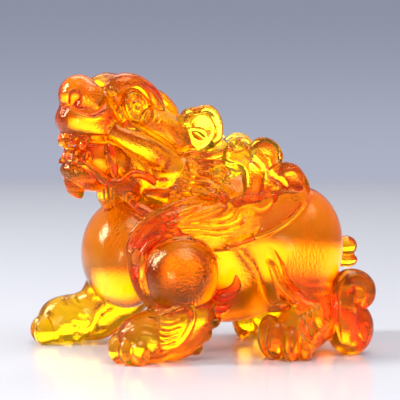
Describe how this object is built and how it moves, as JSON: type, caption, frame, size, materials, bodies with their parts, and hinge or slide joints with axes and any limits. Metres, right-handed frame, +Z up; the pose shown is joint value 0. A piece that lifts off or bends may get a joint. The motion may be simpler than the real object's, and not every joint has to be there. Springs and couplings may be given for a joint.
{
  "type": "pixiu figure",
  "caption": "Crouching winged guardian beast cast in one piece of amber glass, muzzle raised and turned, with combed wings, laid-back ears and a tail scrolled on either side.",
  "frame": {"origin": "middle of the figure's outline, on the plane that its paws stand on", "axes": "+Z up, the beast facing -Y, its left side towards +X"},
  "size_m": [0.0732, 0.1248, 0.105],
  "materials": {
    "amber_glass": "cast glass, fire-polished, with a fine satin grain on the broad forms"
  },
  "bodies": {
    "root": {"pixiu_figure": "amber_glass"}
  },
  "joints": []
}
